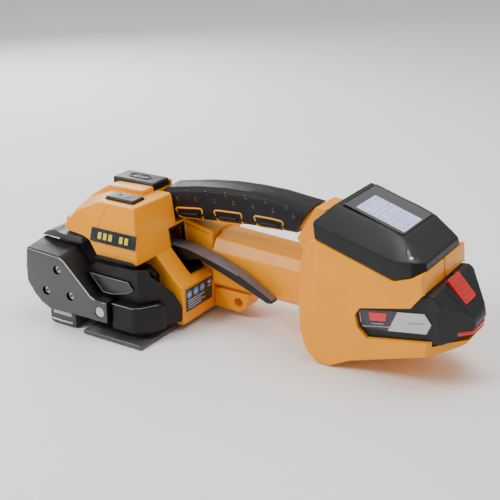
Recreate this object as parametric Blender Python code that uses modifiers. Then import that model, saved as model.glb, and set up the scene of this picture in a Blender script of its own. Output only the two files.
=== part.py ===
"""Battery strapping tool: tension and friction-weld head, grip, motor beam, display housing and battery.

+X runs from the strap head to the battery, -Y is the side the strap goes in, z = 0 is the resting plane.
Numbers in the design tables are millimetres; MM turns them into metres.
"""
import math

import bmesh
import bpy
from mathutils import Matrix, Vector

MM = 0.001
WIDTH = 141.0
NEAR_Y, FAR_Y = -WIDTH / 2, WIDTH / 2

WHEEL_X, WHEEL_Z, WHEEL_R = -150.0, 34.5, 19.0
PIVOT_X, PIVOT_Z = -106.0, 24.0
LEVER_X, LEVER_Z = -94.0, 56.0
LEVER_NEAR, LEVER_FAR = 4.0, 19.0
MOTOR_Y, MOTOR_Z = 45.0, 42.0
CROWN_X, CROWN_R = -88.0, 14.0
ECCENTRIC_X, ECCENTRIC_Z, THROW = -86.0, 40.0, 1.0
SHAFTS = [(WHEEL_X, WHEEL_Z), (ECCENTRIC_X, ECCENTRIC_Z), (PIVOT_X, PIVOT_Z)]
BUTTONS = [(-113.0, -22.0, 15.0, 8.0), (-126.0, 17.0, 22.0, 11.5)]
GRIP_Y = 28.0
REAR_NEAR, REAR_FAR, REAR_MID = -13.5, FAR_Y, 28.5
PACK_TILT = math.radians(11.0)
PACK_NEAR, PACK_FAR = -9.5, 66.5
SCREEN_TILT = math.radians(17.0)
FACE_LEAN = math.radians(16.0)

PAINTS = {
    "yellow": ((0.80, 0.33, 0.03), 0.42, 0.0),
    "black": ((0.017, 0.017, 0.019), 0.5, 0.0),
    "cover": ((0.11, 0.11, 0.115), 0.5, 0.0),
    "rubber": ((0.03, 0.03, 0.032), 0.8, 0.0),
    "steel": ((0.55, 0.53, 0.5), 0.3, 1.0),
    "alloy": ((0.5, 0.5, 0.51), 0.4, 1.0),
    "red": ((0.75, 0.06, 0.05), 0.45, 0.0),
    "glass": ((0.02, 0.02, 0.025), 0.1, 0.0),
    "lcd": ((0.5, 0.58, 0.85), 0.3, 0.0),
    "board": ((0.02, 0.16, 0.06), 0.5, 0.0),
    "brass": ((0.75, 0.5, 0.15), 0.35, 1.0),
    "label": ((0.03, 0.035, 0.04), 0.4, 0.0),
}


def clear_scene():
    for item in list(bpy.data.objects):
        bpy.data.objects.remove(item, do_unlink=True)


def new_collection(name):
    found = bpy.data.collections.new(name)
    bpy.context.scene.collection.children.link(found)
    return found


clear_scene()
TOOL = new_collection("strapping_tool")
CUTTERS = new_collection("cutters")


def paint(name):
    material = bpy.data.materials.get(name)
    if material is None:
        colour, roughness, metallic = PAINTS[name]
        material = bpy.data.materials.new(name)
        material.use_nodes = True
        shader = material.node_tree.nodes["Principled BSDF"]
        shader.inputs["Base Color"].default_value = (*colour, 1.0)
        shader.inputs["Roughness"].default_value = roughness
        shader.inputs["Metallic"].default_value = metallic
        material.diffuse_color = (*colour, 1.0)
    return material


def place(name, shape, colour):
    """A mesh from shape, named and coloured; with no colour it is a cutter."""
    bmesh.ops.recalc_face_normals(shape, faces=shape.faces)
    bmesh.ops.scale(shape, vec=(MM, MM, MM), verts=shape.verts)
    mesh = bpy.data.meshes.new(name)
    shape.to_mesh(mesh)
    shape.free()
    item = bpy.data.objects.new(name, mesh)
    (TOOL if colour else CUTTERS).objects.link(item)
    if colour:
        mesh.materials.append(paint(colour))
    else:
        item.hide_render = True
        item.display_type = "WIRE"
    return item


AXES = {"x": (1, 2, 0), "y": (0, 2, 1), "z": (0, 1, 2)}


def prism(name, outline, axis, low, high, colour=None):
    """The outline, in the plane across the axis, pushed from low to high along it."""
    first, second, along = AXES[axis]
    shape = bmesh.new()
    ring = []
    for point in outline:
        corner = [0.0, 0.0, 0.0]
        corner[first], corner[second], corner[along] = point[0], point[1], low
        ring.append(shape.verts.new(corner))
    face = shape.faces.new(ring)
    pushed = bmesh.ops.extrude_face_region(shape, geom=[face])
    shift = [0.0, 0.0, 0.0]
    shift[along] = high - low
    moved = [v for v in pushed["geom"] if isinstance(v, bmesh.types.BMVert)]
    bmesh.ops.translate(shape, vec=shift, verts=moved)
    return place(name, shape, colour)


def box(name, low, high, colour=None):
    shape = bmesh.new()
    bmesh.ops.create_cube(shape, size=1.0)
    size = [b - a for a, b in zip(low, high)]
    middle = [(a + b) / 2 for a, b in zip(low, high)]
    bmesh.ops.scale(shape, vec=size, verts=shape.verts)
    bmesh.ops.translate(shape, vec=middle, verts=shape.verts)
    return place(name, shape, colour)


TURNS = {"x": Matrix.Rotation(math.pi / 2, 4, "Y"), "y": Matrix.Rotation(-math.pi / 2, 4, "X"),
         "z": Matrix.Identity(4)}


def rod(name, centre, axis, low, high, radius, colour=None, sides=24, far_radius=None):
    """A cylinder or cone along an axis; centre gives the two coordinates across it."""
    first, second, along = AXES[axis]
    middle = [0.0, 0.0, 0.0]
    middle[first], middle[second], middle[along] = centre[0], centre[1], (low + high) / 2
    shape = bmesh.new()
    far = radius if far_radius is None else far_radius
    bmesh.ops.create_cone(shape, cap_ends=True, segments=sides, radius1=radius, radius2=far,
                          depth=high - low, matrix=Matrix.Translation(middle) @ TURNS[axis])
    return place(name, shape, colour)


def toothed(name, centre, axis, low, high, radius, teeth, depth, colour):
    points = []
    for step in range(teeth * 4):
        angle = 2 * math.pi * step / (teeth * 4)
        reach = radius if step % 4 in (0, 1) else radius - depth
        points.append((centre[0] + reach * math.cos(angle), centre[1] + reach * math.sin(angle)))
    return prism(name, points, axis, low, high, colour)


def join_with(target, *others, operation="UNION", solver="EXACT"):
    for other in others:
        step = target.modifiers.new(other.name, "BOOLEAN")
        step.operation = operation
        step.solver = solver
        step.object = other
    return target


def cut(target, *cutters, solver="EXACT"):
    return join_with(target, *cutters, operation="DIFFERENCE", solver=solver)


def keep(target, *others):
    return join_with(target, *others, operation="INTERSECT")


def soften(item, width, segments=2, angle=30.0):
    step = item.modifiers.new("edges", "BEVEL")
    step.width = width * MM
    step.segments = segments
    step.limit_method = "ANGLE"
    step.angle_limit = math.radians(angle)
    return item


def loft(name, rings, colour=None):
    """Rings of equal count joined in order, with both ends closed."""
    shape = bmesh.new()
    rows = [[shape.verts.new(point) for point in ring] for ring in rings]
    count = len(rows[0])
    for near, far in zip(rows, rows[1:]):
        for index in range(count):
            after = (index + 1) % count
            shape.faces.new((near[index], near[after], far[after], far[index]))
    shape.faces.new(rows[0][::-1])
    shape.faces.new(rows[-1])
    return place(name, shape, colour)


def turn(item, centre, angle, axis="Y"):
    """Turns the mesh itself about an axis through centre."""
    there = Vector(centre) * MM
    item.data.transform(Matrix.Translation(there) @ Matrix.Rotation(angle, 4, axis) @ Matrix.Translation(-there))
    return item


# ---- strap head -------------------------------------------------------------------------------------

COVER_LINE = [(-183, 66), (-146, 64), (-114, 35), (-98, 34), (-98, 15), (-123, 15), (-140, 14.6),
              (-160, 13.5), (-170, 18), (-177, 24), (-184.9, 35), (-184.9, 50)]
HOLES = [(-150, 52), (-163.5, 30.5), (-137, 31)]


def tension_cover():
    cover = prism("tension_cover", COVER_LINE, "y", NEAR_Y, -45, "cover")
    for vertex in cover.data.vertices:
        if vertex.co.y > -0.05 and vertex.co.z > 0.06:
            vertex.co.z += 4 * MM
    soften(cover, 2.0)
    inner = [(-180, 61), (-147, 60), (-117, 32.5), (-114, 30), (-114, 10), (-165, 10), (-174, 25), (-181, 36)]
    cut(cover, prism("cover_hollow", inner, "y", NEAR_Y + 4, -40))
    for index, (x, z) in enumerate(HOLES):
        cut(cover, rod("cover_hole_%d" % index, (x, z), "y", NEAR_Y - 2, NEAR_Y + 6, 3.9, sides=20))
        rod("cover_screw_%d" % (index + 1), (x, z), "y", NEAR_Y + 2.0, NEAR_Y + 3.9, 3.2, "steel", 16)
    cut(cover, rod("cover_pin_bore", (PIVOT_X, PIVOT_Z), "y", NEAR_Y - 2, -40, 5.2))
    return cover


def weld_cover():
    """Front-right cover: a stepped panel that wraps round the corner of the head onto its end."""
    plan = [(-97, -57), (-75, -57), (-64, -41), (-56, -22.4), (-60, -22.4), (-67, -40), (-77, -53.8),
            (-97, -53.8)]
    cover = prism("weld_cover", plan, "z", 9, 66, "black")
    side = [(-60, 5), (-18, 5), (-22, 20), (-30.5, 38), (-48, 56), (-49.5, 62), (-60, 62)]
    keep(soften(cover, 1.2), prism("weld_cover_side", side, "x", -130, -40))
    line = [(-95, 37.5), (-95, 61.5), (-118, 61.5), (-128, 55), (-112.5, 37.5)]
    join_with(cover, soften(prism("weld_panel", line, "y", -56.6, -50.4), 1.0))
    step = [(-97.2, -66), (-75, -66), (-69.5, -61.5), (-60.5, -47), (-58.6, -40.5), (-66.2, -44), (-77.8, -55),
            (-97.2, -55)]
    join_with(cover, soften(prism("weld_step", step, "z", 9.4, 33), 2.2))
    return cover


def base_plate():
    plate = box("base_plate", (-125, NEAR_Y, 0), (-64, 62, 4), "cover")
    return soften(plate, 0.8, 1)


def gear_case():
    """Cast wall behind the strap path that carries the wheel axle, the pivot pin and the eccentric."""
    line = [(-182, 41), (-128, 16), (-70, 16), (-70, 32), (-79, 35), (-79, 48), (-88, 54), (-126, 54),
            (-140, 68), (-182, 68)]
    wall = prism("gear_case", line, "y", -30, -23, "alloy")
    cap = prism("case_cap", [(-184.5, 70.6), (-140.5, 70.6), (-140.5, 75.2), (-163, 75.4), (-170, 77.2),
                             (-178, 75)], "y", -48, -22.6)
    neck = box("case_neck", (-181, -29.5, 60), (-142, -23.5, 72))
    join_with(wall, neck, cap)
    for index, (x, z) in enumerate(SHAFTS):
        cut(wall, rod("case_bore_%d" % index, (x, z), "y", -35, -15, 5.0))
    return wall


def head_ring(y, outline, lean=0.0):
    return [(x, y + (z - 62) * lean, z) for x, z in outline]


def head_housing():
    """Leaning front face over a lower box; hollow, open below, with a raised rear block on top."""
    face = [(-162, 78), (-141, 76.3), (-134, 74), (-123, 62.3), (-81, 62.3), (-92, 107), (-128, 107),
            (-151, 96), (-161, 84)]
    body = [(-180, 78), (-150, 76.3), (-134, 74), (-123, 62.3), (-82, 62.3), (-89, 108), (-137, 108),
            (-163, 97), (-181, 82)]
    lean = math.tan(FACE_LEAN)
    rings = [head_ring(-50, face, lean), head_ring(-8, body), head_ring(31, body)]
    rings += [head_ring(56, [(x, min(z, 93)) for x, z in body]), head_ring(70, [(x, min(z, 86)) for x, z in face])]
    upper = soften(loft("head_housing", rings, "yellow"), 2.4)
    lower = soften(prism("head_lower", [(-180, 80), (-182, 62), (-182, 41), (-128, 4.6), (-56, 4.6),
                                        (-56, 38), (-66, 46), (-83, 64), (-100, 80)],
                         "y", -22, FAR_Y), 2.0)
    raised = soften(prism("head_raised", [(-178, 69), (-178, 84), (-161, 99), (-141, 111.5), (-103.6, 112.5),
                                          (-102.8, 69)], "y", -9, 33), 2.0)
    shoulder = soften(prism("head_shoulder", [(-102, 81.5), (-82, 81.5), (-56, 75.5), (-56, 30), (-102, 30)],
                            "y", 23.4, FAR_Y - 1.5), 2.0)
    join_with(upper, lower, raised, shoulder, solver="MANIFOLD")
    hollow = prism("head_hollow_low", [(-171.3, 66.4), (-178, 58), (-178, 44.5), (-122, 7), (-122, 2), (-59, 2),
                                       (-59, 36.5), (-68, 43.5), (-86, 62), (-101.3, 72.7)], "y", -19.5, FAR_Y - 3)
    top = prism("head_hollow_top", [(-146, 60), (-144, 86), (-127, 101), (-112, 101), (-108, 77), (-91, 77),
                                    (-88, 60)], "y", -31, 27)
    pit = prism("head_hollow_beam", [(-104, 74), (-84, 78), (-60, 71.5), (-59.4, 34), (-104, 34)], "y",
                26.4, FAR_Y - 4.6)
    cutters = [hollow, top, pit]
    cutters.append(prism("grip_pocket", [(-103, 82.2), (-60, 82.2), (-60, 130), (-103, 130)], "y",
                         GRIP_Y - 18, GRIP_Y + 18))
    cutters.append(prism("lever_slot", [(-92, 42), (-60, 42), (-60, 80), (-92, 80)], "y", -1, LEVER_FAR + 3))
    cutters.append(rod("shaft_hole", (MOTOR_Y, MOTOR_Z), "x", -74, -50, 4.0))
    for index, (x, z) in enumerate(SHAFTS):
        cutters.append(rod("shaft_gap_%d" % index, (x, z), "y", -26, -15, 5.0))
    for index, (x, y, half_x, half_y) in enumerate(BUTTONS):
        low, high = (x - half_x - 0.5, y - half_y - 0.5, 96), (x + half_x + 0.5, y + half_y + 0.5, 125)
        cutters.append(box("button_well_%d" % index, low, high))
    return cut(upper, *cutters, solver="MANIFOLD")


def head_buttons():
    for name, top, (x, y, half_x, half_y) in zip(("tension_button", "weld_button"), (110.0, 114.5), BUTTONS):
        button = box(name, (x - half_x, y - half_y, 98), (x + half_x, y + half_y, top), "cover")
        soften(button, 1.6)


def head_details():
    lean = math.tan(FACE_LEAN)
    badge = box("badge_plate", (-132, -50.9, 75), (-84.8, -50.2, 86), "label")
    for vertex in badge.data.vertices:
        vertex.co.y += (vertex.co.z - 0.062) * lean - 0.2 * MM
    box("info_label", (-55.7, -18, 16), (-55.1, 20, 36), "label")
    cheeks = [(-87, 79.6), (-84.4, 79.6), (-83.6, 64.6), (-67, 46.6), (-64, 42.4), (-87, 42.4)]
    bezel = prism("lever_bezel", cheeks, "y", -0.6, LEVER_FAR + 2.6, "black")
    cut(bezel, box("bezel_gap", (-95, 1.8, 45), (-50, LEVER_FAR + 1.2, 77)))


def tension_drive():
    wheel = toothed("tension_wheel", (WHEEL_X, WHEEL_Z), "y", -65, -50, WHEEL_R, 30, 0.8, "steel")
    cut(wheel, rod("wheel_bore", (WHEEL_X, WHEEL_Z), "y", -70, -40, 4.3))
    axle = rod("tension_axle", (WHEEL_X, WHEEL_Z), "y", -66, -6, 4.0, "steel")
    ring = rod("axle_bearing", (WHEEL_X, WHEEL_Z), "y", -17.5, -9.5, 6.8, "steel")
    cut(ring, rod("bearing_bore", (WHEEL_X, WHEEL_Z), "y", -20, -5, 4.3))
    return wheel, axle


def weld_drive():
    shaft = rod("eccentric_shaft", (ECCENTRIC_X, ECCENTRIC_Z), "y", -52, -3, 4.0, "steel")
    join_with(shaft, rod("eccentric_disc", (ECCENTRIC_X + THROW, ECCENTRIC_Z), "y", -52.5, -45.5, 6.5))
    shoe = prism("weld_shoe", [(-91.5, 5.4), (-78.5, 5.4), (-78.5, 14), (-82, 18), (-82, 31.5), (-90, 31.5),
                               (-90, 18), (-91.5, 14)], "y", -53.3, -45, "steel")
    blade = prism("strap_cutter", [(-96.6, 9), (-94.6, 7.6), (-93.6, 7.6), (-93.6, 30), (-96.6, 30)],
                  "y", -53.3, -45, "steel")
    return shaft, shoe, blade


def rocker():
    """Lower jaw: a foot under the wheel on an arm that turns about the pivot pin."""
    foot = prism("rocker_jaw", [(-164, 2), (-162, 0.4), (-139, 0.4), (-136.5, 2), (-136.5, 12.4), (-164, 12.4)],
                 "y", -66, -32, "cover")
    arm = prism("rocker_arm", [(-150, 4), (-137, 4), (-126, 11), (-114, 13), (-106, 15.5), (-98, 20),
                               (-97.5, 28), (-106, 32.5), (-116, 27), (-124, 15), (-137, 12.4), (-150, 12.4)],
                "y", -43.7, -32)
    join_with(foot, arm)
    cut(foot, box("plate_seat", (-161.3, -69, 9.0), (-140.7, -49.7, 20)))
    cut(foot, rod("rocker_bore", (PIVOT_X, PIVOT_Z), "y", -60, -20, 4.9))
    box("toothed_plate", (-161, -66, 9.3), (-141, -50, 12.6), "steel")
    rod("pivot_pin", (PIVOT_X, PIVOT_Z), "y", NEAR_Y + 0.6, -16, 4.5, "steel")
    return foot


# ---- lever, grip and motor beam ---------------------------------------------------------------------

def hand_lever():
    top = [(-97, 63), (-83, 64.5), (-69, 64), (-44, 58), (-19, 50), (4, 38), (13, 33)]
    under = [(13, 30), (8, 29.5), (-4, 35), (-34, 47.5), (-58, 56), (-72, 52), (-90, 48)]
    lever = prism("hand_lever", top + under, "y", LEVER_NEAR, LEVER_FAR, "cover")
    for vertex in lever.data.vertices:
        reach = max(0.0, (vertex.co.x / MM + 44) / 57)
        middle = (LEVER_NEAR + LEVER_FAR) / 2 * MM
        vertex.co.y = middle + (vertex.co.y - middle) * (1 - 0.4 * reach)
    soften(lever, 0.9)
    hub = rod("lever_hub", (LEVER_X, LEVER_Z), "y", LEVER_NEAR, LEVER_FAR, 8.5)
    join_with(lever, hub)
    cut(lever, rod("hub_bore", (LEVER_X, LEVER_Z), "y", 0, 25, 3.4))
    rod("lever_pin", (LEVER_X, LEVER_Z), "y", -6, 31, 3.0, "steel", 20)
    spring = rod("lever_spring", (LEVER_X, LEVER_Z), "y", LEVER_FAR + 0.5, LEVER_FAR + 8, 6.5, "steel", 20)
    cut(spring, rod("spring_bore", (LEVER_X, LEVER_Z), "y", 15, 30, 3.6, sides=20))
    return lever


GRIP_TOP = [(-101, 108), (-95, 112), (-64, 118), (-38, 121), (-14, 122), (9, 121.5), (44, 118)]
GRIP_LOW = [(-99, 86), (-92, 83), (-62, 86), (-38, 88), (-14, 90), (9, 91.5), (29, 92)]


def grip_ring(index, inset, sides=20):
    """A rounded section of the grip, slanted like its ends."""
    (top_x, top_z), (low_x, low_z) = GRIP_TOP[index], GRIP_LOW[index]
    middle_x, middle_z = (top_x + low_x) / 2, (top_z + low_z) / 2
    ring = []
    for step in range(sides):
        angle = 2 * math.pi * step / sides
        across, rise = math.cos(angle), math.sin(angle)
        flat = (abs(across) ** 3 + abs(rise) ** 3) ** (-1 / 3)
        size = (1 - inset / 16) * flat
        ring.append((middle_x + (top_x - low_x) / 2 * rise * size, GRIP_Y + 17 * across * size,
                     middle_z + (top_z - low_z) / 2 * rise * size))
    return ring


def grip():
    """Rubber sleeve over a stiff core that bridges the head and the display housing."""
    count = range(len(GRIP_TOP))
    sleeve = loft("handle_grip", [grip_ring(index, 0) for index in count], "rubber")
    bore = loft("grip_bore", [[(x + shift, y, z) for x, y, z in grip_ring(index, 3.7)]
                              for index, shift in zip(count, (-4, 0, 0, 0, 0, 0, 5))])
    cut(sleeve, bore)
    ends = [[(x + 1.0, y, z) for x, y, z in grip_ring(0, 4.2)]]
    ends += [grip_ring(index, 4.2) for index in list(count)[1:-1]]
    ends += [[(x + 3, y, z) for x, y, z in grip_ring(len(GRIP_TOP) - 1, 4.2)]]
    loft("handle_core", ends, "yellow")
    return sleeve


def tapered(beam):
    """Lowers the upper half of the beam's section toward the display end."""
    for vertex in beam.data.vertices:
        height = vertex.co.z / MM - MOTOR_Z
        if height > 0:
            share = (vertex.co.x / MM + 55.4) / 105.4
            vertex.co.z = (MOTOR_Z + height * (0.95 - 0.15 * share)) * MM
    return beam


def motor_beam():
    beam = soften(tapered(prism("motor_housing", BEAM_SECTION, "x", -55.4, 50, "yellow")), 1.5)
    cut(beam, rod("motor_bore", (MOTOR_Y, MOTOR_Z), "x", -60, 60, 16.0, sides=28))
    stator = rod("motor_stator", (MOTOR_Y, MOTOR_Z), "x", -36, 16, 15.6, "steel", 28)
    cut(stator, rod("stator_bore", (MOTOR_Y, MOTOR_Z), "x", -40, 20, 9.2, sides=28))
    rotor = rod("motor_rotor", (MOTOR_Y, MOTOR_Z), "x", -34, 14, 8.6, "steel", 24)
    shaft = rod("rotor_shaft", (MOTOR_Y, MOTOR_Z), "x", -81.5, 22, 2.5, sides=16)
    pinion = toothed("pinion", (MOTOR_Y, MOTOR_Z), "x", -81.5, -75.5, 5.0, 11, 1.1, None)
    join_with(rotor, shaft, pinion)
    crown = toothed("crown_gear", (CROWN_X, MOTOR_Z), "y", 32, 38.8, CROWN_R, 33, 1.1, "steel")
    cut(crown, rod("crown_bore", (CROWN_X, MOTOR_Z), "y", 30, 42, 4.3))
    rod("crown_shaft", (CROWN_X, MOTOR_Z), "y", 24, 62, 4.0, "steel")
    boss = prism("hanging_boss", [(-55.4, 6), (-30, 5), (-22, 12), (-20, 23.6), (-55.4, 23.6)],
                 "y", 24, 44, "yellow")
    cut(soften(boss, 1.5), rod("boss_hole", (-31, 14.5), "y", 20, 50, 4.2, sides=20))
    return beam, rotor, crown


# ---- display housing and battery ------------------------------------------------------------------

def slope(along, rise):
    """A point measured along and across the battery's tilted axis, from its lower front corner."""
    c, s = math.cos(PACK_TILT), math.sin(PACK_TILT)
    return (62 + along * c - rise * s, 19 + along * s + rise * c)


REAR_LINE = [(66, 0), (78, 0), (95, 9), (172, 33.6), (179, 36), (181.6, 40), (157, 60), (152.4, 79.5),
             (151, 94.5),
             (143, 90), (128, 84.5), (62, 103.8), (47, 98), (41, 80), (39, 50), (43, 24), (53, 9)]
BRIDGE_LINE = [(32.8, 91), (48.4, 119.3), (57, 118.5), (60.5, 102), (58, 94), (50, 82), (38, 84)]
WINDOW = [(109, 33), (101, 40), (98, 50), (102, 56.5), (143, 66), (151.5, 77.6), (200, 92), (200, 44),
          (169, 43.5)]
BAY = [slope(-1, -0.6), slope(109, -0.6), (200, 40.5), (200, 97), slope(100, 41.1), slope(-1, 41.1)]
PACK_LINE = [slope(0, 0), slope(108, 0), (180.5, 44), (185, 52), (181, 59.5), (158, 78.4), slope(98, 40.4),
             slope(0, 40.4)]
REAR_CORNERS = [[(155, -16), (184, -16), (184, 16)], [(155, 73), (184, 41), (184, 73)]]
PACK_CORNERS = [[(162, -12), (190, -12), (190, 22)], [(158, 69), (190, 28.5), (190, 69)]]
ROOM = [(60, 67), (134, 81.2), (128, 80.5), (64, 97), (57, 94.6), (54, 77), (54, 65.5)]
BEAM_SECTION = [(20.5, 30), (20.5, 60), (27, 71), (38, 75), (54, 74), (64, 67), (69, 58), (69, 32), (62, 24),
                (28, 24)]


def rear_shell(name, low, high, side):
    """One half of the display housing; side is -1 for the near half and 1 for the far half."""
    shell = prism(name, REAR_LINE, "y", low, high, "yellow")
    edge = low if side < 0 else high
    for vertex in shell.data.vertices:
        if abs(vertex.co.y - edge * MM) < MM and vertex.co.x < 0.06:
            vertex.co.x += 0.45 * (0.06 - vertex.co.x)
    soften(shell, 2.5)
    bridge = prism(name + "_bridge", BRIDGE_LINE, "y", max(low, GRIP_Y - 16), min(high, GRIP_Y + 16))
    join_with(shell, bridge)
    wall_low, wall_high = (low + 3, high + 5) if side < 0 else (low - 5, high - 3)
    cut(shell, prism(name + "_room", ROOM, "y", wall_low, wall_high))
    cut(shell, prism(name + "_bay", BAY, "y", PACK_NEAR - 0.6, PACK_FAR + 0.6))
    window_low, window_high = (low - 5, PACK_NEAR + 5) if side < 0 else (PACK_FAR - 5, high + 5)
    corner = REAR_CORNERS[0 if side < 0 else 1]
    cut(shell, prism(name + "_corner", corner, "z", -5, 78), solver="MANIFOLD")
    window = prism(name + "_window", WINDOW, "y", window_low, window_high)
    cut(shell, window, solver="MANIFOLD")
    cut(shell, prism(name + "_mouth", [(68, 84), (126, 76), (126, 130), (68, 130)], "y", 2, 66))
    socket = [(45 + (y - 45) * 1.018, 48 + (z - 48) * 1.018) for y, z in BEAM_SECTION]
    cut(shell, tapered(prism(name + "_socket", socket, "x", 30, 50.4)))
    return shell


def display():
    """Frame that leans back over the housing, with a well for the glass and a room for the board."""
    low = [(62, -13.2, 101), (62, 70.2, 101), (128, 70.2, 82), (143, 70.2, 87), (151, 62, 91),
           (151, -5, 91), (143, -13.2, 87), (128, -13.2, 82)]
    middle = [(59, -12, 117), (59, 70.2, 117), (128, 70.2, 101), (141, 68, 100.5), (149, 60, 99.5),
              (149, -3, 99.5), (141, -11, 100.5), (128, -12.5, 99)]
    top = [(69, 6, 128.4), (69, 69, 128.4), (112, 69, 116.6), (126, 68, 111.8), (129, 64, 110.8),
           (129, 10, 110.8), (126, 6, 111.8), (112, 6, 116.6)]
    frame = soften(loft("display_shroud", [low, middle, top], "rubber"), 1.2)
    seat = [(30, 40), (170, 40), (170, 95.2), (151.2, 95.1), (143, 90.6), (128, 85.1), (62, 104.4), (30, 104.4)]
    cut(frame, prism("display_seat", seat, "y", -30, 90))
    cut(frame, prism("display_room", [(66.5, 80), (124, 80), (124, 99), (66.5, 114)], "y", 3, 65.5))
    cut(frame, lid("display_well", (72.6, 9.6, 116.4), (125.4, 66.0, 140)))
    cut(frame, box("display_gap", (80, 15, 90), (118, 46, 140)))
    return frame


def lid(name, low, high, colour=None):
    """A flat box laid on the slope of the screen."""
    return turn(box(name, low, high, colour), (100, 37, 119.2), SCREEN_TILT)


def screen():
    lid("lcd_panel", (79, 14, 116.8), (123, 48.2, 118.4), "lcd")
    lid("display_window", (73, 10, 118.8), (125, 65.6, 120.2), "glass")
    lid("control_board", (78, 16, 100), (113, 45, 101.6), "board")


def battery():
    pack = soften(prism("battery_case", PACK_LINE, "y", PACK_NEAR, PACK_FAR, "black"), 2.5)
    for vertex in pack.data.vertices:
        if vertex.co.x > 0.17:
            vertex.co.x -= 0.2 * MM
    for index, outline in enumerate(PACK_CORNERS):
        cut(pack, prism("pack_corner_%d" % index, outline, "z", 20, 100))
    cut(pack, prism("release_seat", [(154, 90), (186, 76), (170, 59), (151, 79)], "y", 17.5, 39.5))
    cut(pack, prism("contact_notch", [slope(-5, 29), slope(24, 29), slope(24, 50), slope(-5, 50)], "y", 14, 43))
    prism("battery_release", [(158.6, 81.2), (174.6, 64.6), (171.6, 61.8), (155.2, 77.6)], "y", 18, 39, "red")
    side = [slope(42, 12), slope(98, 9), slope(103, 17), slope(98, 26), slope(42, 27)]
    prism("battery_label", side, "y", PACK_NEAR - 0.5, PACK_NEAR - 0.2, "label")
    block = [slope(2, 31), slope(13, 31), slope(13, 39.6), slope(2, 39.6)]
    prism("contact_block", block, "y", 16, 41, "brass")
    return pack


def main():
    tension_cover()
    weld_cover()
    base_plate()
    gear_case()
    head_housing()
    head_buttons()
    head_details()
    tension_drive()
    weld_drive()
    rocker()
    hand_lever()
    grip()
    motor_beam()
    rear_shell("rear_housing_near", REAR_NEAR, REAR_MID - 0.15, -1)
    rear_shell("rear_housing_far", REAR_MID + 0.15, REAR_FAR, 1)
    display()
    screen()
    battery()


main()
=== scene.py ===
import math

import bmesh
import bpy
from mathutils import Matrix, Vector


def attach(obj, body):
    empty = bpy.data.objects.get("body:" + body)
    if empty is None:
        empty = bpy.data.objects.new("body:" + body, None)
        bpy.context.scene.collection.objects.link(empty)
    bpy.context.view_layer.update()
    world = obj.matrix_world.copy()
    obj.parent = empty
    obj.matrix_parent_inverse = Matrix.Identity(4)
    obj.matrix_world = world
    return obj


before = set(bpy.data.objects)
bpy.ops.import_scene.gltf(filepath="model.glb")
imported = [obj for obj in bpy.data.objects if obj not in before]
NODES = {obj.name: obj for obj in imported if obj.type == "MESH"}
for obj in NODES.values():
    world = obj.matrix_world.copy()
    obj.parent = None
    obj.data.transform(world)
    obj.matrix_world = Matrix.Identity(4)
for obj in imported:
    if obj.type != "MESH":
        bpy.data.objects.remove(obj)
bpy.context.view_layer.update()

# Looks and small detail pieces for a battery strapping tool, around its CAD frame.
# Lengths are in millimetres and turned into metres where an object is made, except those of the lights.
# X runs from the head to the battery, -Y is the near side, and the tool stands on Z = 0.

MM = 0.001
# The head's front face leans back as it rises, and is at y = -50 at FRONT_LEVEL.
FRONT_LEAN = math.tan(math.radians(16.0))
FRONT_LEVEL = 62
SCREEN_TILT = math.radians(17.0)
SCREEN_MIDDLE = Vector((100, 37, 119.2))
PACK_TILT = math.radians(11.0)
PACK_CORNER = (62, 19)
SHARP_ANGLE = math.radians(28)
EDGE_WIDTH = 0.25
EDGE_STEPS = 3


# ---- camera, light and floor ------------------------------------------------------------------------

CAMERA_PLACE = Vector((411.5, -664.8, 385.9))
CAMERA_DIP = 21.5
CAMERA_TURN = 32
LENS = 75.0
SENSOR = 36.0
WORLD_LIGHT = 0.33
# Name, place, aim and size in metres, and power in watts.
LIGHTS = (
    ("key", (-0.75, -1.0, 1.15), (-0.05, 0, 0.06), 0.7, 22),
    ("top", (0.25, 0.2, 1.3), (0.05, 0.02, 0.05), 0.8, 8),
    ("fill", (0.3, 0.8, 2.6), (0, 0, 0), 5.0, 42),
    ("rim", (-1.0, 0.7, 0.6), (-0.1, 0, 0.06), 0.5, 9),
)
FLOOR_SIZE = 8000
FLOOR_DROP = 0.6


def add_object(name, data):
    item = bpy.data.objects.new(name, data)
    bpy.context.scene.collection.objects.link(item)
    return item


def camera():
    data = bpy.data.cameras.new("camera")
    data.lens = LENS
    data.sensor_width = SENSOR
    item = add_object("camera", data)
    item.location = CAMERA_PLACE * MM
    item.rotation_euler = (math.radians(90 - CAMERA_DIP), 0, math.radians(CAMERA_TURN))
    bpy.context.scene.camera = item


def studio():
    world = bpy.data.worlds.new("studio")
    world.use_nodes = True
    sky = world.node_tree.nodes["Background"]
    sky.inputs["Color"].default_value = (1, 1, 1, 1)
    sky.inputs["Strength"].default_value = WORLD_LIGHT
    bpy.context.scene.world = world
    for name, place, aim, size, power in LIGHTS:
        data = bpy.data.lights.new(name, "AREA")
        data.size = size
        data.energy = power
        item = add_object(name, data)
        item.location = place
        item.rotation_euler = (Vector(aim) - Vector(place)).to_track_quat("-Z", "Y").to_euler()


def floor():
    bpy.ops.mesh.primitive_grid_add(x_subdivisions=4, y_subdivisions=4, size=FLOOR_SIZE * MM,
                                    location=(0, 0, -FLOOR_DROP * MM))
    item = bpy.context.object
    item.name = "floor"
    item.data.materials.append(skin("floor_paper"))


# ---- materials --------------------------------------------------------------------------------------

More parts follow.
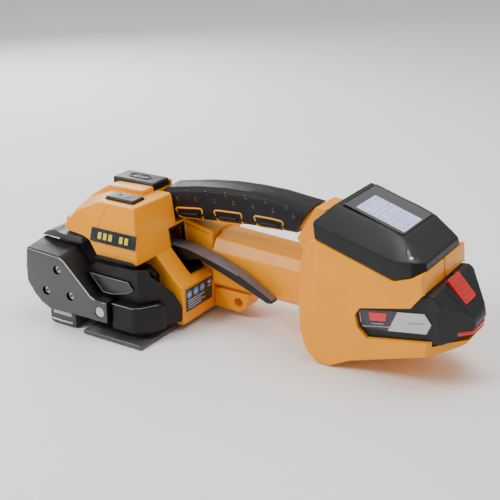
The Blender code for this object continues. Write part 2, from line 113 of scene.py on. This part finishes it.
LOOKS = {
    "floor_paper": dict(base=(0.93, 0.93, 0.93), roughness=0.9, tone=0.006, grain=40, depth=0.004),
    "amber_plastic": dict(base=(0.95, 0.350, 0.001), roughness=0.38, tone=0.05, depth=0.10, shine=0.32,
                          coat=0.05, scuff=0.07, scuff_colour=(0.90, 0.50, 0.14)),
    "fold_amber": dict(base=(0.86, 0.40, 0.05), roughness=0.34, tone=0.05, depth=0.08, coat=0.2),
    "black_plastic": dict(base=(0.004, 0.004, 0.0045), roughness=0.40, tone=0.25, depth=0.12, shine=0.28,
                          scuff=0.08, scuff_colour=(0.03, 0.03, 0.031)),
    "black_gloss": dict(base=(0.010, 0.010, 0.011), roughness=0.26, tone=0.25, depth=0.06, coat=0.35),
    "panel_black": dict(base=(0.016, 0.016, 0.017), roughness=0.33, tone=0.15, depth=0.08, coat=0.15),
    "bezel_black": dict(base=(0.006, 0.006, 0.007), roughness=0.30, tone=0.25, depth=0.05, coat=0.2),
    # Painted shade: near-black for the hollows of the grip dimples and of screw wells and sockets.
    "painted_hollow_shade": dict(base=(0.001, 0.001, 0.001), roughness=0.22, tone=0.25, depth=0.05, coat=0.3),
    # Painted shade: near-black standing in for the shade inside the shroud's recess.
    "painted_recess_shade": dict(base=(0.001, 0.001, 0.001), roughness=0.25, tone=0.25, depth=0.05, coat=0.3),
    "graphite_plastic": dict(base=(0.060, 0.060, 0.063), roughness=0.36, tone=0.14, depth=0.16,
                             shine=0.42, scuff=0.12),
    # Painted highlight: grey lines along the weld cover's rounded edges, where they catch the light.
    "painted_edge_highlight": dict(base=(0.20, 0.20, 0.205), roughness=0.30, tone=0.15, depth=0.05, coat=0.3),
    # Painted highlight: light grey for the light caught along the tension cover's rounded crest.
    "painted_crest_highlight": dict(base=(0.42, 0.42, 0.43), roughness=0.28, metallic=0.1, tone=0.15, depth=0.05,
                      coat=0.3),
    "lever_plastic": dict(base=(0.012, 0.011, 0.012), roughness=0.36, tone=0.12, depth=0.12, shine=0.35,
                          scuff=0.08),
    # Painted highlight: grey on the black lever's upward faces, standing in for the light they catch.
    "lever_top_highlight": dict(base=(0.150, 0.140, 0.143), roughness=0.33, tone=0.12, depth=0.10, coat=0.1),
    "button_mark": dict(base=(0.30, 0.30, 0.31), roughness=0.3, tone=0.1, depth=0.05, coat=0.3),
    "grip_rubber": dict(base=(0.006, 0.006, 0.0065), roughness=0.48, tone=0.22, grain=2600, depth=0.22,
                        shine=0.3),
    "shroud_skin": dict(base=(0.009, 0.009, 0.0095), roughness=0.36, tone=0.16, grain=2200, depth=0.14,
                        shine=0.35),
    "battery_plastic": dict(base=(0.013, 0.013, 0.014), roughness=0.40, tone=0.16, grain=1500, depth=0.2,
                            shine=0.32, scuff=0.06),
    "red_plastic": dict(base=(0.68, 0.025, 0.022), roughness=0.34, tone=0.10, depth=0.1, coat=0.15),
    "machined_steel": dict(base=(0.56, 0.53, 0.50), roughness=0.30, metallic=1.0, tone=0.12, grain=900,
                           depth=0.14),
    "foot_steel": dict(base=(0.60, 0.52, 0.50), roughness=0.30, metallic=0.9, grain=900),
    "contact_brass": dict(base=(0.70, 0.46, 0.14), roughness=0.3, metallic=1.0),
    "board_green": dict(base=(0.015, 0.12, 0.05), roughness=0.4, depth=0.2),
    "label_film": dict(base=(0.018, 0.024, 0.034), roughness=0.28, tone=0.30, depth=0.04, coat=0.3),
    "silver_film": dict(base=(0.50, 0.50, 0.52), roughness=0.34, metallic=0.35, tone=0.06, depth=0.05,
                        coat=0.2),
    "display_glass": dict(base=(0.006, 0.006, 0.008), roughness=0.09, tone=0.2, depth=0.01, coat=0.6,
                          swing=0.03),
    "screen_marks": dict(base=(0.30, 0.33, 0.62), roughness=0.25, tone=0.1, depth=0.02),
    "ink_grey": dict(base=(0.30, 0.30, 0.32), roughness=0.4, tone=0.08, depth=0.04),
    "ink_amber": dict(base=(0.85, 0.62, 0.03), roughness=0.4, tone=0.08, depth=0.04),
    "ink_blue": dict(base=(0.10, 0.32, 0.75), roughness=0.4, tone=0.08, depth=0.04),
    "ink_pale": dict(base=(0.42, 0.52, 0.62), roughness=0.4, tone=0.08, depth=0.04),
}
# Noise scales, in cells per metre; grain in LOOKS is one too.
TONE_PATCH = 35
ROUGHNESS_PATCH = 140
SCUFF_PATCH = 260
SCUFF_STRETCH = (1, 0.25, 0.4)
SCUFF_SPAN = (0.60, 0.72)
GRAIN_HEIGHT = 0.4
LCD_TILES = 60
MADE = {}


def skin(name):
    """The material of that name, made the first time it is asked for."""
    if name not in MADE:
        made = bpy.data.materials.new(name)
        made.use_nodes = True
        if name == "lcd_lit":
            light_panel(made.node_tree)
        else:
            surface(made.node_tree, **LOOKS[name])
        MADE[name] = made
    return MADE[name]


def add_noise(tree, scale, detail, stretch=None):
    item = tree.nodes.new("ShaderNodeTexNoise")
    item.inputs["Scale"].default_value = scale
    item.inputs["Detail"].default_value = detail
    source = tree.nodes.new("ShaderNodeTexCoord").outputs["Object"]
    if stretch:
        turn = tree.nodes.new("ShaderNodeMapping")
        turn.inputs["Scale"].default_value = stretch
        tree.links.new(source, turn.inputs["Vector"])
        source = turn.outputs["Vector"]
    tree.links.new(source, item.inputs["Vector"])
    return item.outputs["Fac"]


def add_ramp(tree, source, low, high, span=(0.3, 0.7)):
    item = tree.nodes.new("ShaderNodeValToRGB")
    first, last = item.color_ramp.elements
    first.position, last.position = span
    first.color = (*low, 1)
    last.color = (*high, 1)
    tree.links.new(source, item.inputs["Fac"])
    return item.outputs["Color"]


def surface(tree, base, roughness, metallic=0.0, tone=0.10, grain=1800, depth=0.08, coat=0.0, shine=0.5,
            scuff=0.0, scuff_colour=None, swing=0.07):
    """Moulded or machined surface: slow tone change, roughness change, fine grain and light scuffs."""
    shader = tree.nodes["Principled BSDF"]
    shader.inputs["Metallic"].default_value = metallic
    shader.inputs["Coat Weight"].default_value = coat
    shader.inputs["Specular IOR Level"].default_value = shine
    dark = [c * (1 - tone) for c in base]
    light = [min(1.0, c * (1 + tone)) for c in base]
    colour = add_ramp(tree, add_noise(tree, TONE_PATCH, 5), dark, light)
    if scuff:
        wear = add_noise(tree, SCUFF_PATCH, 9, SCUFF_STRETCH)
        blend = tree.nodes.new("ShaderNodeMix")
        blend.data_type = "RGBA"
        tree.links.new(add_ramp(tree, wear, (0, 0, 0), [scuff] * 3, SCUFF_SPAN), blend.inputs["Factor"])
        tree.links.new(colour, blend.inputs["A"])
        worn = scuff_colour or [min(1.0, c * 1.6 + 0.05) for c in base]
        blend.inputs["B"].default_value = (*worn, 1)
        colour = blend.outputs["Result"]
    tree.links.new(colour, shader.inputs["Base Color"])
    low = max(0.05, roughness - swing)
    high = min(1.0, roughness + swing)
    rough = add_ramp(tree, add_noise(tree, ROUGHNESS_PATCH, 6), [low] * 3, [high] * 3)
    tree.links.new(rough, shader.inputs["Roughness"])
    bump = tree.nodes.new("ShaderNodeBump")
    bump.inputs["Strength"].default_value = depth
    bump.inputs["Distance"].default_value = GRAIN_HEIGHT * MM
    tree.links.new(add_noise(tree, grain, 3), bump.inputs["Height"])
    tree.links.new(bump.outputs["Normal"], shader.inputs["Normal"])


def light_panel(tree):
    """Lit liquid-crystal panel: pale blue with faint tiles."""
    shader = tree.nodes["Principled BSDF"]
    tiles = tree.nodes.new("ShaderNodeTexBrick")
    tiles.inputs["Scale"].default_value = LCD_TILES
    tiles.inputs["Mortar Size"].default_value = 0.012
    tiles.inputs["Color1"].default_value = (0.52, 0.58, 0.90, 1)
    tiles.inputs["Color2"].default_value = (0.60, 0.66, 0.95, 1)
    tiles.inputs["Mortar"].default_value = (0.40, 0.44, 0.74, 1)
    tree.links.new(tree.nodes.new("ShaderNodeTexCoord").outputs["Object"], tiles.inputs["Vector"])
    tree.links.new(tiles.outputs["Color"], shader.inputs["Base Color"])
    tree.links.new(tiles.outputs["Color"], shader.inputs["Emission Color"])
    shader.inputs["Emission Strength"].default_value = 0.32
    shader.inputs["Roughness"].default_value = 0.18
    shader.inputs["Coat Weight"].default_value = 0.4


# ---- the CAD parts' looks ---------------------------------------------------------------------------

# The CAD parts that each look goes on.
WEARERS = {
    "amber_plastic": ("head_housing", "motor_housing", "hanging_boss", "rear_housing_near",
                      "rear_housing_far", "handle_core"),
    "graphite_plastic": ("tension_cover", "base_plate", "rocker_jaw"),
    "lever_plastic": ("hand_lever", "tension_button", "weld_button"),
    "black_plastic": ("weld_cover", "lever_bezel", "gear_case"),
    "grip_rubber": ("handle_grip",),
    "battery_plastic": ("battery_case",),
    "shroud_skin": ("display_shroud",),
    "red_plastic": ("battery_release",),
    "label_film": ("badge_plate", "info_label", "battery_label"),
    "machined_steel": ("cover_screw_1", "cover_screw_2", "cover_screw_3", "axle_bearing", "pivot_pin",
                       "lever_pin", "lever_spring", "motor_stator", "crown_shaft", "tension_wheel",
                       "tension_axle", "motor_rotor", "crown_gear", "eccentric_shaft", "weld_shoe",
                       "strap_cutter", "toothed_plate"),
    "display_glass": ("display_window",),
    "lcd_lit": ("lcd_panel",),
    "board_green": ("control_board",),
    "contact_brass": ("contact_block",),
}
# Width of the rounded edges of the parts that have more or less than EDGE_WIDTH.
ROUNDED = {
    "head_housing": 1.4, "motor_housing": 1.4, "rear_housing_near": 1.2, "rear_housing_far": 1.2,
    "hanging_boss": 1.0, "display_shroud": 1.6, "display_window": 0.3, "tension_cover": 0.9,
    "weld_cover": 0.9, "gear_case": 0.5, "base_plate": 0.4, "rocker_jaw": 0.5, "hand_lever": 0.8,
    "tension_button": 0.8, "weld_button": 0.8, "battery_case": 1.4, "battery_release": 1.0,
}
# The gear case is graphite above this height and black below it.
GEAR_CASE_SPLIT = 70.3


def dress(node, look):
    """Gives a CAD part its material and rounds its sharp edges."""
    item = NODES[node]
    item.data.materials.clear()
    item.data.materials.append(skin(look))
    item.data.polygons.foreach_set("use_smooth", [True] * len(item.data.polygons))
    weld = item.modifiers.new("weld", "WELD")
    weld.merge_threshold = 0.01 * MM
    edge = item.modifiers.new("edge", "BEVEL")
    edge.width = ROUNDED.get(node, EDGE_WIDTH) * MM
    edge.segments = EDGE_STEPS
    edge.limit_method = "ANGLE"
    edge.angle_limit = SHARP_ANGLE
    edge.use_clamp_overlap = True
    normals = item.modifiers.new("normals", "WEIGHTED_NORMAL")
    normals.keep_sharp = False


def two_tone(node, look, chosen):
    """Gives the faces that chosen picks a second material."""
    data = NODES[node].data
    data.materials.append(skin(look))
    for face in data.polygons:
        if chosen(face):
            face.material_index = 1


def dress_frame():
    for look, nodes in WEARERS.items():
        for node in nodes:
            dress(node, look)
    # Painted light: the black tension cover keeps lighter graphite only on its near face, which faces the
    # lights; its other faces get black.
    two_tone("tension_cover", "black_plastic", lambda face: face.normal.y > -0.5)
    # The lever's upward faces get a painted highlight in lighter grey.
    two_tone("hand_lever", "lever_top_highlight", lambda face: face.normal.z > 0.35)
    two_tone("gear_case", "graphite_plastic", lambda face: face.center.z > GEAR_CASE_SPLIT * MM)


# ---- shapes of detail pieces ------------------------------------------------------------------------

def place_piece(name, shape, look, body, edge=0.0, smooth=True):
    """A detail piece in place, in its material, riding the body it sits on."""
    mesh = bpy.data.meshes.new(name)
    bmesh.ops.recalc_face_normals(shape, faces=shape.faces)
    shape.to_mesh(mesh)
    shape.free()
    mesh.materials.append(skin(look))
    mesh.polygons.foreach_set("use_smooth", [smooth] * len(mesh.polygons))
    item = add_object(name, mesh)
    if edge:
        step = item.modifiers.new("edge", "BEVEL")
        step.width = edge * MM
        step.segments = EDGE_STEPS
        step.angle_limit = SHARP_ANGLE
    if smooth:
        item.modifiers.new("normals", "WEIGHTED_NORMAL")
    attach(item, body)


def across(axis, a, b, depth):
    """Point at that depth along an axis; a and b are its other two coordinates, in order."""
    return Vector({"x": (depth, a, b), "y": (a, depth, b), "z": (a, b, depth)}[axis])


def add_slab(shape, outline, axis, low, high, lay=None):
    """Adds an outline pushed from low to high along an axis; lay moves each point to its final place."""
    rows = []
    for depth in (low, high):
        points = [across(axis, a, b, depth) for a, b in outline]
        if lay:
            points = [lay(point) for point in points]
        rows.append([shape.verts.new(point * MM) for point in points])
    lower, upper = rows
    for index in range(len(outline)):
        after = (index + 1) % len(outline)
        shape.faces.new((lower[index], lower[after], upper[after], upper[index]))
    shape.faces.new(lower[::-1])
    shape.faces.new(upper)


def add_ball(shape, centre, axes, around, rings):
    """Adds an ellipsoid; axes are its three half-lengths as vectors."""
    place = Matrix.Translation(centre * MM) @ Matrix(axes).transposed().to_4x4()
    bmesh.ops.create_uvsphere(shape, u_segments=around, v_segments=rings, radius=MM, matrix=place)


def plate(name, outline, axis, low, high, look, body, edge=EDGE_WIDTH, lay=None):
    shape = bmesh.new()
    add_slab(shape, outline, axis, low, high, lay)
    place_piece(name, shape, look, body, edge)


def bars(name, outlines, axis, low, high, look, body, lay=None):
    """Several small raised shapes as one piece."""
    shape = bmesh.new()
    for outline in outlines:
        add_slab(shape, outline, axis, low, high, lay)
    place_piece(name, shape, look, body, smooth=False)


def bead(name, points, radius, look, body, closed=False):
    """Round bead along a line of points, such as a rim or a moulded edge."""
    data = bpy.data.curves.new(name, "CURVE")
    data.dimensions = "3D"
    data.bevel_depth = radius * MM
    data.bevel_resolution = 3
    data.use_fill_caps = True
    line = data.splines.new("POLY")
    line.points.add(len(points) - 1)
    for spot, point in zip(line.points, points):
        spot.co = (*(Vector(point) * MM), 1)
    line.use_cyclic_u = closed
    data.materials.append(skin(look))
    item = add_object(name, data)
    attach(item, body)


def round_outline(a, b, radius, sides=24):
    turn = 2 * math.pi / sides
    return [(a + radius * math.cos(turn * k), b + radius * math.sin(turn * k)) for k in range(sides)]


def box_outline(a0, b0, a1, b1):
    return [(a0, b0), (a1, b0), (a1, b1), (a0, b1)]


def oblong(a0, b0, a1, b1, radius, steps=5):
    """Rectangle with rounded corners."""
    corners = ((a1 - radius, b0 + radius, -90), (a1 - radius, b1 - radius, 0),
               (a0 + radius, b1 - radius, 90), (a0 + radius, b0 + radius, 180))
    points = []
    for a, b, start in corners:
        for k in range(steps + 1):
            angle = math.radians(start + 90 * k / steps)
            points.append((a + radius * math.cos(angle), b + radius * math.sin(angle)))
    return points


def steps_between(start, end, count):
    """Evenly spaced numbers from start to end, with count steps between them."""
    return [start + (end - start) * k / count for k in range(count + 1)]


def on_front(point):
    """Lays a point drawn on the upright plane y = -50 on the leaning front face of the head."""
    return Vector((point.x, point.y + (point.z - FRONT_LEVEL) * FRONT_LEAN, point.z))


def on_screen(point):
    """Lays a flat point on the slope of the screen."""
    return Matrix.Rotation(SCREEN_TILT, 3, "Y") @ (point - SCREEN_MIDDLE) + SCREEN_MIDDLE


def on_pack(outline):
    """Turns an outline drawn along the battery, from its lower corner, into x and z."""
    cosine = math.cos(PACK_TILT)
    sine = math.sin(PACK_TILT)
    x, z = PACK_CORNER
    return [(x + along * cosine - rise * sine, z + along * sine + rise * cosine) for along, rise in outline]


# ---- head and welding covers ------------------------------------------------------------------------

# Places of round things on the tool's sides, as x and z.
COVER_SCREWS = ((-150, 52), (-163.5, 30.5), (-137, 31))
COVER_PIVOT = (-106, 24)
HOUSING_SCREWS = ((-160, 52), (-124, 20), (-70, 16), (62, 22), (58, 84), (140, 74))
COVER_RIM_Y = -70.1
COVER_CREST_Y = -69.6


def head_pieces():
    """Rims, painted socket shade on the screws and floors in the holes of the tension cover, a painted
    highlight along its crest, and the fold in the head's front face.
    """
    for index, (x, z) in enumerate(COVER_SCREWS, 1):
        # The rims share the near face's graphite, its painted lit grey.
        rim = [(a, COVER_RIM_Y, b) for a, b in round_outline(x, z, 4.3)]
        bead("cover_rim_%d" % index, rim, 0.38, "graphite_plastic", "root", closed=True)
        # Painted shade: a dark hexagon on each screw head stands in for its socket.
        plate("screw_socket_shade_%d" % index, round_outline(x, z, 1.5, 6), "y", -68.75, -68.55,
              "black_gloss", "root", edge=0.1)
        plate("hole_floor_%d" % index, round_outline(x, z, 3.7), "y", -67.6, -66.7,
              "black_gloss", "root", edge=0.0)
    rim = [(a, COVER_RIM_Y, b) for a, b in round_outline(*COVER_PIVOT, 4.9, 32)]
    bead("pivot_rim", rim, 0.36, "black_gloss", "root", closed=True)
    # Painted highlight: a light grey bead along the cover's crest.
    crest = [(-183.4, 65.0), (-146.4, 63.0), (-142.5, 60.6), (-115.5, 35.2), (-110, 33.4), (-99.4, 33.0)]
    bead("cover_crest_highlight", [(x, COVER_CREST_Y, z) for x, z in crest], 0.55, "painted_crest_highlight", "root")
    facet = zip(steps_between(-131, -119, 6), steps_between(75, 106, 6))
    bead("head_facet", [on_front(Vector((x, -50.1, z))) for x, z in facet], 0.35, "amber_plastic", "root")


def weld_pieces():
    """Raised panel with a painted highlight line round it, a painted highlight line along the step below
    it, and the brow above it on the weld cover.
    """
    panel = [(-124, 51.5), (-84.5, 51), (-79.5, 45.2), (-86, 41.2), (-101, 37.2), (-111, 37.2)]
    plate("weld_panel_face", panel, "y", -58.6, -56.5, "panel_black", "root",
          edge=0.9)
    bead("weld_panel_highlight", [(x, -58.4, z) for x, z in panel], 0.32, "painted_edge_highlight", "root",
         closed=True)
    step = [(-96.6, -65.3), (-76, -65.3), (-70.6, -61.2), (-62.2, -47.5)]
    bead("weld_step_highlight", [(x, y, 32.3) for x, y in step], 0.36, "painted_edge_highlight", "root")
    brow = [(-123.5, 62.6), (-121, 66.2), (-84, 66.2), (-80.5, 62.6)]
    plate("weld_brow", brow, "y", -53.0, -51.2, "black_plastic", "root", edge=0.5)


def far_side_screws():
    """Screw heads on the housing's far side, each on a painted shade disc for its well and with a painted
    shade hexagon for its socket.
    """
    for index, (x, z) in enumerate(HOUSING_SCREWS, 1):
        plate("housing_screw_well_%d" % index, round_outline(x, z, 3.4), "y", 70.2, 70.58,
              "painted_hollow_shade", "root", edge=0.0)
        plate("housing_screw_%d" % index, round_outline(x, z, 2.3), "y", 70.3, 70.78,
              "machined_steel", "root", edge=0.15)
        plate("housing_screw_socket_%d" % index, round_outline(x, z, 1.1, 6), "y", 70.6, 70.84,
              "painted_hollow_shade", "root", edge=0.0)


# ---- grip -------------------------------------------------------------------------------------------

GRIP_MIDDLE_Y = 28.0
GRIP_HALF_WIDTH = 17
GRIP_ROUNDNESS = 3
# Upper and lower edge of the grip, as x and z.
GRIP_TOP = ((-101, 108), (-95, 112), (-64, 118), (-38, 121), (-14, 122), (9, 121.5), (44, 118))
GRIP_LOW = ((-99, 86), (-92, 83), (-62, 86), (-38, 88), (-14, 90), (9, 91.5), (29, 92))
WINDOW_STARTS = (-85, -46, -7)
WINDOW_LENGTH = 27


def grip_point(place, rise):
    """Point seen from the side: place counts along both edges' points, and rise runs from -1 to 1."""
    index = int(place)
    top = Vector(GRIP_TOP[index]).lerp(Vector(GRIP_TOP[index + 1]), place - index)
    low = Vector(GRIP_LOW[index]).lerp(Vector(GRIP_LOW[index + 1]), place - index)
    return (top + low) / 2 + (top - low) / 2 * rise


def near_side(x, rise):
    """Point on the near side of the grip; rise runs from -1 at its lower edge to 1 at its top."""
    low, high = 0.0, len(GRIP_TOP) - 1.001
    for _ in range(30):
        place = (low + high) / 2
        point = grip_point(place, rise)
        if point.x < x:
            low = place
        else:
            high = place
    depth = GRIP_HALF_WIDTH * (1 - abs(rise) ** GRIP_ROUNDNESS) ** (1 / GRIP_ROUNDNESS)
    return Vector((point.x, GRIP_MIDDLE_Y - depth, point.y))


def grip_pieces():
    """Two rows of painted dimple shade as dark flattened balls, and three framed windows with a rubber pad
    in each.
    """
    shade_balls = bmesh.new()
    # Each dimple is painted shade: a dark flattened ball standing in for the dent.
    axes = ((2.0, 0, 0), (0, 0.8, 0), (0, 0, 2.3))
    for start, pitch, rise in ((-94, 19.4, 0.60), (-84, 18.9, 0.24)):
        for index in range(7):
            centre = near_side(start + index * pitch, rise) + Vector((0, 0.35, 0))
            add_ball(shade_balls, centre, axes, 16, 10)
    place_piece("grip_dimple_shade", shade_balls, "painted_hollow_shade", "root")
    for index, start in enumerate(WINDOW_STARTS, 1):
        end = start + WINDOW_LENGTH
        top = [near_side(x, -0.22) for x in steps_between(start + 1.5, end - 1.5, 8)]
        right = [near_side(end, -0.30), near_side(end - 1.5, -0.82)]
        low = [near_side(x, -0.94) for x in steps_between(end - 4, start + 4, 8)]
        left = [near_side(start + 1.5, -0.82), near_side(start, -0.30)]
        bead("grip_window_%d" % index, top + right + low + left, 0.75, "amber_plastic", "root",
             closed=True)
        pad = [near_side(x, -0.60) for x in steps_between(start + 5, end - 5, 6)]
        bead("grip_pad_%d" % index, pad, 1.5, "grip_rubber", "root")


# ---- screen, battery, labels, foot and buttons ------------------------------------------------------

# Lowest and highest x and y of each tile shown on the screen.
SCREEN_TILES = ((84, 17, 96, 26), (84, 29, 96, 45), (99, 17, 108, 30), (99, 33, 108, 45),
                (111, 17, 121, 22), (111, 25, 121, 30), (111, 33, 121, 38))
TILE_LINE = 0.5


def display_pieces():
    """The lit face, the outlines of its tiles, and the window's rim."""
    plate("screen_face", oblong(81.5, 14, 124, 47.5, 1.0), "z", 120.22, 120.36, "lcd_lit", "root",
          edge=0.0, lay=on_screen)
    frames = []
    for x0, y0, x1, y1 in SCREEN_TILES:
        frames.append(box_outline(x0, y0, x1, y0 + TILE_LINE))
        frames.append(box_outline(x0, y1 - TILE_LINE, x1, y1))
        frames.append(box_outline(x0, y0, x0 + TILE_LINE, y1))
        frames.append(box_outline(x1 - TILE_LINE, y0, x1, y1))
    bars("screen_tiles", frames, "z", 120.34, 120.42, "screen_marks", "root",
         lay=on_screen)
    rim = [on_screen(Vector((x, y, 120.2))) for x, y in oblong(72.6, 9.6, 125.4, 66.0, 2.0)]
    bead("screen_rim", rim, 0.45, "bezel_black", "root", closed=True)


def battery_pieces():
    """The label's silver field, red block and plain lines, the release's ribs, a groove and a stripe."""
    silver = on_pack([(66, 10.6), (97, 9.6), (102, 17), (97.6, 25.4), (76, 26)])
    plate("pack_silver", silver, "y", -10.35, -10.02, "silver_film", "battery",
          edge=0.0)
    block = on_pack([(52, 18.5), (65, 18), (67, 24.5), (52, 25)])
    plate("pack_red_block", block, "y", -10.35, -10.02, "red_plastic", "battery",
          edge=0.0)
    lines = ((45, 13.4, 70, 14.2), (53, 15.6, 64, 16.4), (84, 17.0, 96, 18.4), (44, 17, 45, 25))
    bars("pack_print", [on_pack(box_outline(*line)) for line in lines], "y", -10.55, -10.3,
         "ink_grey", "battery")
    rib = ((-0.7, 0.5), (0.1, 0.8), (0.7, -0.1), (-0.2, -0.4))
    ribs = []
    for k in range(5):
        x = 161.0 + 2.8 * k
        z = 78.7 - 2.9 * k
        ribs.append([(x + a, z + b) for a, b in rib])
    bars("release_ribs", ribs, "y", 21, 36, "red_plastic", "release")
    groove = [(181.5, 14, 56), (178, 13, 61.5), (170, 10.5, 68.3), (160, 9.5, 76.8)]
    bead("pack_groove", groove, 0.5, "bezel_black", "battery")
    stripe = [(174, 3.4), (181.2, 11.4), (182.0, 14), (182.0, 36.5), (181.2, 39), (172, 51)]
    bead("pack_red_stripe", [(x, y, 46) for x, y in stripe], 1.5, "red_plastic", "battery")


def label_pieces():
    """Plain bars on the head's badge, and plain discs, signs and lines on the side label."""
    # Three bars, an empty place and two more.
    starts = [-124 + 5.6 * place for place in (0, 1, 2, 4, 5)]
    badge = [box_outline(x, 78.0, x + 3.4, 83.2) for x in starts]
    bars("badge_bars", badge, "y", -51.35, -51.0, "ink_amber", "root", lay=on_front)
    middles = [-14 + 9.5 * k for k in range(3)]
    discs = [round_outline(y, 31, 3.4, 20) for y in middles]
    bars("info_icons", discs, "x", -55.1, -54.9, "ink_blue", "root")
    marks = [box_outline(y - 1.6, 30.2, y + 1.6, 31.8) for y in middles]
    marks += [box_outline(13, 28.4, 18, 29.4), box_outline(13, 31, 18, 33.6)]
    for row in range(4):
        z = 25.2 - 2.2 * row
        marks.append(box_outline(-16, z, 8 - 5 * (row % 2), z + 0.8))
    bars("info_print", marks, "x", -54.95, -54.75, "ink_pale", "root")


def foot_pieces():
    """Teeth and bright lip on the foot of the jaw, and ribs on the base plate."""
    starts = [-160.4 + 1.6 * k for k in range(12)]
    teeth = [box_outline(x, 9.6, x + 0.9, 12.4) for x in starts]
    bars("foot_ridges", teeth, "y", -66.35, -65.9, "machined_steel", "jaw")
    lip = [(-161.8, -66.4, 4.2), (-150, -66.4, 3.8), (-139.2, -66.4, 4.2)]
    bead("foot_lip", lip, 0.9, "foot_steel", "jaw")
    starts = [-92 + 2.6 * k for k in range(11)]
    ribs = [box_outline(x, -70.2, x + 1.0, -60) for x in starts]
    bars("plate_ribs", ribs, "z", 4.0, 4.45, "graphite_plastic", "root")


def button_pieces():
    """A wave on the tension button and an oblong on the weld button."""
    shares = steps_between(0, 1, 16)
    wave = [(-120 + 14 * share, -22 + 2.6 * math.sin(2 * math.pi * share), 110.1) for share in shares]
    bead("tension_mark", wave, 0.6, "button_mark", "tension_key")
    loop = [(x, y, 114.6) for x, y in oblong(-137, 12.6, -115, 21.4, 4.3)]
    bead("weld_mark", loop, 0.6, "bezel_black", "weld_key", closed=True)


# ---- shroud and housing -----------------------------------------------------------------------------

# The painted recess shade runs down the shroud's corner, and RECESS_OUT points away from the corner.
RECESS_START = Vector((133.0, -0.5, 107.6))
RECESS_END = Vector((142.2, -10.2, 99.0))
RECESS_OUT = Vector((0.62, -0.5, 0.6))


def shroud_pieces():
    """A seam by the shoulder, painted shade for a recess in the shroud with a screw in it, and a fold in
    the near housing.
    """
    bead("shoulder_seam", [(-89.6, 23.2, 79.0), (-60, 23.2, 72.5)], 0.3, "bezel_black", "root")
    along = (RECESS_END - RECESS_START).normalized()
    out = (RECESS_OUT - along * RECESS_OUT.dot(along)).normalized()
    side = along.cross(out)
    shade_ball = bmesh.new()
    add_ball(shade_ball, (RECESS_START + RECESS_END) / 2, (along * 7.5, side * 3.2, out * 0.9), 24, 12)
    place_piece("shroud_recess_shade", shade_ball, "painted_recess_shade", "root")
    screw = bmesh.new()
    centre = RECESS_START + along * 10.2 + out * 0.5
    add_ball(screw, centre, (along * 1.9, side * 1.9, out * 0.8), 16, 8)
    place_piece("shroud_screw", screw, "machined_steel", "root")
    fold = [(60.5, -13.5, 97), (58, -13.4, 70), (58.5, -13.4, 40), (64, -13.4, 12)]
    bead("housing_fold", fold, 0.35, "fold_amber", "root")


camera()
studio()
floor()
dress_frame()
head_pieces()
weld_pieces()
far_side_screws()
grip_pieces()
display_pieces()
battery_pieces()
label_pieces()
foot_pieces()
button_pieces()
shroud_pieces()
